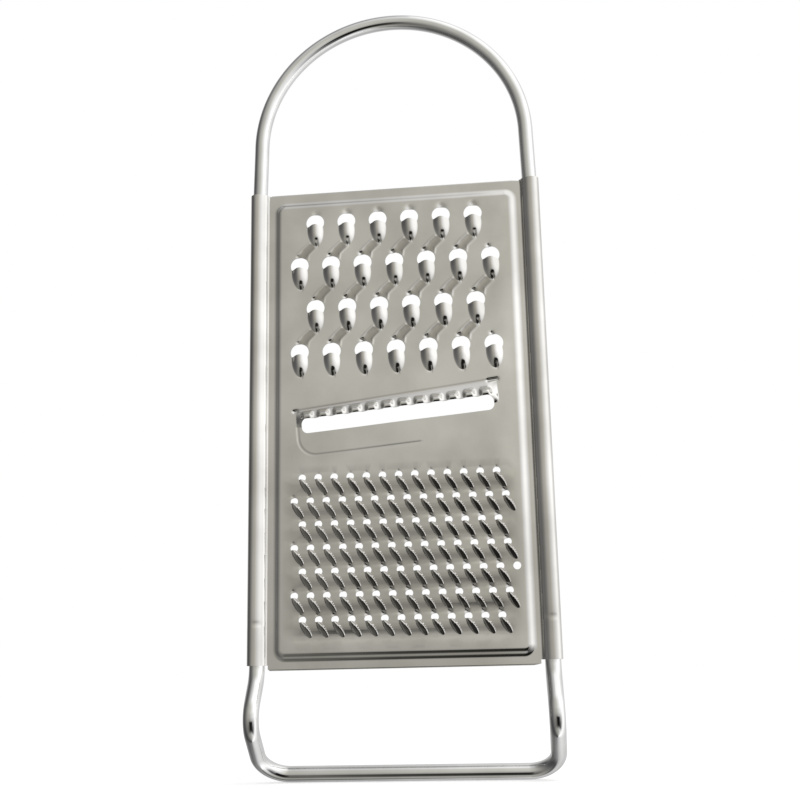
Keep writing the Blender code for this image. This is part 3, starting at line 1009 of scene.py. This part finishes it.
def insideOf(polygon, x, z):
    # Even and odd crossings, for many points at once.
    inside = np.zeros(x.shape, bool)
    for (x0, z0), (x1, z1) in zip(polygon, polygon[1:] + polygon[:1]):
        if z0 == z1:
            continue
        crosses = (z0 > z) != (z1 > z)
        inside ^= crosses & (x < x0 + (z - z0) * (x1 - x0) / (z1 - z0))
    return inside


def makeSheet(material):
    drawing = Drawing()
    drawBorder(drawing)
    drawTeeth(drawing, coarseTeeth)
    drawTeeth(drawing, fineTeeth)
    drawSlicer(drawing)
    drawSpareHole(drawing)
    drawPanelStep(drawing)
    drawRolls(drawing)
    drawGroove(drawing)
    drawCreases(drawing)
    drawHems(drawing)
    drawGround(drawing)
    print("sheet drawn flat:", len(drawing.points), "points")

    flat = [Vector(point) for point in drawing.points]
    result = delaunay_2d_cdt(flat, drawing.edges, [], 0, spacing["mergeGap"], False)
    corners = np.array([(v.x, v.y) for v in result[0]])
    faces = np.array([face for face in result[2] if len(face) == 3])
    middle = corners[faces].mean(axis=1)
    border = [drawing.points[i] for i in drawing.outlines[0]]
    keep = insideOf(border, middle[:, 0], middle[:, 1])
    for outline in drawing.outlines[1:]:
        hole = [drawing.points[i] for i in outline]
        low = np.min(hole, axis=0)
        high = np.max(hole, axis=0)
        close = np.nonzero(((middle > low) & (middle < high)).all(axis=1))[0]
        keep[close[insideOf(hole, middle[close, 0], middle[close, 1])]] = False
    faces = faces[keep]
    used, faces = np.unique(faces, return_inverse=True)
    faces = faces.reshape(-1, 3)
    corners = corners[used]
    print("sheet cut out:", len(faces), "faces")

    p = corners[:, 0]
    q = corners[:, 1]
    small = spacing["slopeStep"]
    front = placeSheet(p, q)
    alongP = placeSheet(p + small, q) - placeSheet(p - small, q)
    alongQ = placeSheet(p, q + small) - placeSheet(p, q - small)
    normal = np.cross(alongP, alongQ)
    normal /= np.linalg.norm(normal, axis=1)[:, None]
    back = front - normal * sheet["thickness"]

    count = len(front)
    directed = np.concatenate((faces[:, [0, 1]], faces[:, [1, 2]], faces[:, [2, 0]]))
    known = {(a, b) for a, b in directed.tolist()}
    rim = [(a, b) for a, b in directed.tolist() if (b, a) not in known]
    quads = [(b, a, a + count, b + count) for a, b in rim]
    allFaces = faces.tolist() + (faces[:, ::-1] + count).tolist() + quads
    mesh = newMesh("graterSheet", np.concatenate((front, back)), allFaces, material)
    # painted shade for each point, darker where dark reflections are painted in
    shadeAmount = sheetPaintedShade(p, q)
    layer = mesh.attributes.new("paintedShade", "FLOAT", "POINT")
    layer.data.foreach_set("value", np.concatenate((shadeAmount, np.zeros(count))))

    # The pressed faces are shaded by their true slope, and the cut edges stay crisp.
    normals = np.zeros((len(mesh.loops), 3))
    vertices = np.zeros(len(mesh.loops), int)
    mesh.loops.foreach_get("vertex_index", vertices)
    skin = 3 * 2 * len(faces)
    shades = np.concatenate((normal, -normal))
    normals[:skin] = shades[vertices[:skin]]
    faceNormals = np.zeros(len(allFaces) * 3)
    mesh.polygons.foreach_get("normal", faceNormals)
    normals[skin:] = np.repeat(faceNormals.reshape(-1, 3)[2 * len(faces):], 4, axis=0)
    mesh.normals_split_custom_set(normals.tolist())
    print("sheet pressed and rolled")
    return addObject("graterSheet", mesh)


# The wires

wire = {
    "radius": 2.5,
    "sides": 36,
    "chamfer": 0.4,
    "centreY": -10.7,
    "step": 6.0,
}

bowHandle = {
    "legX": 46.85,
    "legEnd": 76.6,
    "shoulderZ": 196.6,
    "archZ": 214.2,
    "archRadius": 46.4,
    "archSteps": 120,
}

footFrame = {
    "legEnd": 76.0,
    "ankleZ": 32.89,
    "kneeX": 47.3,
    "kneeY": -19.2,
    "kneeZ": 19.13,
    "barZ": 2.463,
    "bends": (0.0, 12.0, 7.8, 9.4),  # at the leg's end, the ankle, the knee and the bar
    "bendSteps": 20,
}


def roundedLine(corners, radii, steps):
    line = []
    for i, corner in enumerate(corners):
        if radii[i] == 0:
            line.append(corner)
            continue
        back = (corners[i - 1] - corner).normalized()
        ahead = (corners[i + 1] - corner).normalized()
        half = back.angle(ahead) / 2
        reach = radii[i] / math.tan(half)
        centre = corner + (back + ahead).normalized() * radii[i] / math.sin(half)
        start = (corner + back * reach - centre).normalized()
        end = (corner + ahead * reach - centre).normalized()
        line += [centre + start.slerp(end, step / steps) * radii[i] for step in range(steps + 1)]
    return line


def makeTube(name, line, material):
    # A round wire along the line, with a small bevel at each end.
    sides = wire["sides"]
    radius = wire["radius"]
    bevel = wire["chamfer"]
    line = [Vector(point) for point in along(line, wire["step"]) + line[-1:]]
    last = len(line) - 1
    directions = [(line[min(i + 1, last)] - line[max(i - 1, 0)]).normalized() for i in range(last + 1)]
    start = directions[0]
    end = directions[last]
    cap = ((0.0, 0.0), (0.0, radius - bevel), (bevel, radius))
    rings = [(line[0] + start * inset, start, size) for inset, size in cap]
    rings += [(line[i], directions[i], radius) for i in range(1, last)]
    rings += [(line[last] - end * inset, end, size) for inset, size in reversed(cap)]

    vertices = []
    rows = []
    travelled = 0.0
    facing = Vector((0, -1, 0))
    for i, (point, direction, size) in enumerate(rings):
        if i:
            before, turned, held = rings[i - 1]
            facing.rotate(turned.rotation_difference(direction))
            travelled += max((point - before).length, abs(size - held))
        beside = direction.cross(facing)
        count = sides if size else 1
        rows.append((len(vertices), count, travelled))
        for side in range(count):
            angle = 2 * math.pi * side / sides
            vertices.append(point + (facing * math.cos(angle) + beside * math.sin(angle)) * size)
    faces = []
    places = []
    for near, far in zip(rows, rows[1:]):
        for side in range(sides):
            corners = [(near, side), (near, side + 1), (far, side + 1), (far, side)]
            if near[1] == 1:
                del corners[1]
            if far[1] == 1:
                del corners[2]
            faces.append([first + place % count for (first, count, length), place in corners])
            places += [(place / sides, length) for (first, count, length), place in corners]
    mesh = newMesh(name, vertices, faces, material)
    mesh.uv_layers.new(name="alongTheWire").data.foreach_set("uv", np.array(places).ravel())
    return addObject(name, mesh)


def makeBow(material):
    y = wire["centreY"]
    foot = (bowHandle["legX"], y, bowHandle["legEnd"])
    shoulder = (bowHandle["legX"], y, bowHandle["shoulderZ"])
    arch = arc(0.0, bowHandle["archZ"], bowHandle["archRadius"], math.pi, -math.pi, bowHandle["archSteps"])
    line = [(-x, y, z) for x, y, z in (foot, shoulder)]
    line += [(x, y, z) for x, z in arch] + [shoulder, foot]
    return makeTube("bowHandle", line, material)


def makeFoot(material):
    y = wire["centreY"]
    right = [
        (bowHandle["legX"], y, footFrame["legEnd"]),
        (bowHandle["legX"], y, footFrame["ankleZ"]),
        (footFrame["kneeX"], footFrame["kneeY"], footFrame["kneeZ"]),
        (footFrame["kneeX"], 0.0, footFrame["barZ"]),
    ]
    corners = [Vector((-x, y, z)) for x, y, z in right] + [Vector(place) for place in reversed(right)]
    bends = footFrame["bends"]
    line = roundedLine(corners, bends + bends[::-1], footFrame["bendSteps"])
    return makeTube("footFrame", line, material)


# The studio

# A light tent stands round the object. Only reflections see it: white cloth to the right, open
# grey room in front, and a black board low down in front of it.

studio = {
    "tentRadius": 1.6,
    "tentSegments": 64,
    "tentMiddle": (0.0, 0.0, 0.13),
    "level": [  # degrees from the front towards the right, and brightness
        (-180, 0.75), (-150, 0.70), (-125, 0.35), (-104, 0.12), (-92, 0.10), (-78, 0.14), (-67, 0.19),
        (-48, 0.34), (-36, 0.47), (-22, 0.57), (-6, 0.66), (1, 0.74), (10, 0.88), (24, 1.03), (42, 1.30),
        (60, 1.54), (86, 1.58), (100, 1.25), (114, 1.00), (136, 0.85), (180, 0.75),
    ],
    "low": [
        (-180, 0.50), (-125, 0.16), (-100, 0.07), (-78, 0.09), (-60, 0.18), (-40, 0.24), (-26, 0.16),
        (-12, 0.085), (-5, 0.045), (0, 0.025), (6, 0.012), (46, 0.01), (58, 0.25), (70, 1.00), (86, 1.40),
        (110, 1.10), (130, 0.80), (180, 0.50),
    ],
    "high": [
        (-180, 0.85), (-90, 0.25), (-60, 0.45), (-40, 0.72), (-20, 0.82), (-12, 0.88), (-4, 1.05),
        (2, 1.25), (20, 1.40), (90, 1.45), (140, 1.00), (180, 0.85),
    ],
    "fall": [  # height in degrees, share of low
        (-62, 0.35), (-50, 0.95), (-36, 0.88), (-20, 0.58), (-5, 0.20), (3, 0.15), (11, 0.0),
    ],
    "warm": (-60.0, 12.0),  # the grey room in front is a little warm, the cloth and the ceiling are not
    "warmTint": (1.0, 0.985, 0.91),
    "boardTop": (-0.19, -0.40),  # radians, from its soft edge inwards
    "boardFoot": (-1.00, -0.82),
    "boardLeft": (-0.50, -0.15),
    "boardRight": (0.80, 0.50),
    "ceiling": (28.0, 66.0),  # degrees, from its soft edge upwards
    "floorSize": 8.0,
    "floorZ": -0.0001,
    "floorGrey": (0.85, 0.85, 0.85, 1.0),
    "floorGlow": 0.42,
    "fill": 0.7,
    "lampSize": 0.7,
    "lampPower": 3.0,
    "lampPlace": (0.7, -0.5, 1.1),
    "lampTarget": (0.0, 0.0, 0.1),
}


def compassRamp(tree, name, turn):
    start, end = studio["warm"]
    stops = []
    for degrees, value in studio[name]:
        warm = start < degrees < end and name != "high"
        tint = studio["warmTint"] if warm else (1.0, 1.0, 1.0)
        stops.append(((degrees + 180) / 360, [value * part for part in tint]))
    return valueRamp(tree, stops, turn)


def mathNode(tree, operation, *values):
    return addNode(tree, "Math", dict(enumerate(values)), operation=operation).outputs["Value"]


def fadeBetween(tree, value, start, end):
    ends = {"Value": value, "From Min": start, "From Max": end}
    return addNode(tree, "MapRange", ends, interpolation_type="SMOOTHSTEP").outputs["Result"]


def makeTent():
    material, tree = newMaterial("tentCloth")
    place = addNode(tree, "TexCoord", {}).outputs["Object"]
    direction = addNode(tree, "VectorMath", {0: place}, operation="NORMALIZE").outputs["Vector"]
    parts = addNode(tree, "SeparateXYZ", {"Vector": direction}).outputs
    away = mathNode(tree, "MULTIPLY", parts["Y"], -1.0)
    angle = mathNode(tree, "ARCTAN2", parts["X"], away)
    turn = mathNode(tree, "MULTIPLY_ADD", angle, 0.5 / math.pi, 0.5)
    height = mathNode(tree, "ARCSINE", parts["Z"])
    climb = mathNode(tree, "MULTIPLY_ADD", height, 1 / math.pi, 0.5)
    low = valueRamp(tree, [((degrees + 90) / 180, [share] * 3) for degrees, share in studio["fall"]], climb)
    board = fadeBetween(tree, height, *studio["boardTop"])
    for value, edge in ((height, "boardFoot"), (angle, "boardLeft"), (angle, "boardRight")):
        board = mathNode(tree, "MULTIPLY", board, fadeBetween(tree, value, *studio[edge]))
    low = mathNode(tree, "MAXIMUM", low, board)
    high = fadeBetween(tree, height, *map(math.radians, studio["ceiling"]))
    colour = compassRamp(tree, "level", turn)
    colour = mixColours(tree, low, colour, compassRamp(tree, "low", turn))
    colour = mixColours(tree, high, colour, compassRamp(tree, "high", turn))
    glow = addNode(tree, "Emission", {"Color": colour})
    addNode(tree, "OutputMaterial", {"Surface": glow.outputs["Emission"]})
    material.cycles.emission_sampling = "NONE"

    bpy.ops.mesh.primitive_uv_sphere_add(
        segments=studio["tentSegments"], ring_count=studio["tentSegments"] // 2,
        radius=studio["tentRadius"], location=studio["tentMiddle"],
    )
    tent = bpy.context.object
    tent.name = "lightTent"
    tent.data.materials.append(material)
    for ray in ("camera", "diffuse", "transmission", "shadow"):
        setattr(tent, "visible_" + ray, False)
    return tent


def whiteForCamera(tree, lightShader, whiteShader):
    # The camera, glossy and transmission rays see the white, all other rays the light.
    path = addNode(tree, "LightPath", {}).outputs
    seen = mathNode(tree, "MAXIMUM", path["Is Camera Ray"], path["Is Glossy Ray"])
    seen = mathNode(tree, "MAXIMUM", seen, path["Is Transmission Ray"])
    return addNode(tree, "MixShader", {"Fac": seen, 1: lightShader, 2: whiteShader}).outputs["Shader"]


def makeFloor():
    material, tree = newMaterial("paleFloor")
    paper = addNode(tree, "BsdfDiffuse", {"Color": studio["floorGrey"]}).outputs["BSDF"]
    glow = addNode(tree, "Emission", {"Strength": studio["floorGlow"]}).outputs["Emission"]
    both = addNode(tree, "AddShader", {0: paper, 1: glow}).outputs["Shader"]
    addNode(tree, "OutputMaterial", {"Surface": whiteForCamera(tree, paper, both)})
    material.cycles.emission_sampling = "NONE"
    bpy.ops.mesh.primitive_plane_add(size=studio["floorSize"], location=(0, 0, studio["floorZ"]))
    floor = bpy.context.object
    floor.name = "floor"
    floor.data.materials.append(material)
    floor.visible_glossy = False
    return floor


def makeWorld():
    scene.world = bpy.data.worlds.new("studioWorld")
    tree = emptyTree(scene.world)
    white = addNode(tree, "Background", {"Color": (1, 1, 1, 1)}).outputs["Background"]
    fill = addNode(tree, "Background", {"Color": (1, 1, 1, 1), "Strength": studio["fill"]})
    shader = whiteForCamera(tree, fill.outputs["Background"], white)
    addNode(tree, "OutputWorld", {"Surface": shader})


def makeLamp():
    light = bpy.data.lights.new("softKey", "AREA")
    light.shape = "SQUARE"
    light.size = studio["lampSize"]
    light.energy = studio["lampPower"]
    lamp = addObject("softKey", light)
    lamp.location = studio["lampPlace"]
    aim = Vector(studio["lampTarget"]) - lamp.location
    lamp.rotation_euler = aim.to_track_quat("-Z", "Y").to_euler()
    lamp.visible_glossy = False


# The camera

cameraView = {
    "place": (0.0428, -0.3846, 0.0306),
    "right": (0.993, 0.1165, -0.0205),
    "forward": (-0.1085, 0.9661, 0.2341),
    "lens": 52.56,
    "sensor": 36.0,
    "clip": (0.01, 50.0),
}


def makeCamera():
    forward = Vector(cameraView["forward"]).normalized()
    right = Vector(cameraView["right"])
    right = (right - forward * right.dot(forward)).normalized()
    up = right.cross(forward)
    data = bpy.data.cameras.new("photoCamera")
    data.lens = cameraView["lens"]
    data.sensor_width = cameraView["sensor"]
    data.clip_start, data.clip_end = cameraView["clip"]
    camera = addObject("photoCamera", data)
    turn = Matrix((right, up, -forward)).transposed()
    camera.matrix_world = Matrix.Translation(cameraView["place"]) @ turn.to_4x4()
    scene.camera = camera


# Everything together

scene.view_settings.view_transform = "Standard"
makeCamera()
makeWorld()
makeLamp()
floor = makeFloor()
tent = makeTent()
print("studio ready")

polished = makeSheetSteel(sheetSteel)
bright = makeWireSteel(wireSteel)

graterSheet = makeSheet(polished)
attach(graterSheet, "root")
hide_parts("grater_plate")

bow = makeBow(bright)
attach(bow, "root")
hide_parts("bow_handle")

foot = makeFoot(bright)
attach(foot, "root")
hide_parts("foot_frame")
print("wires bent")
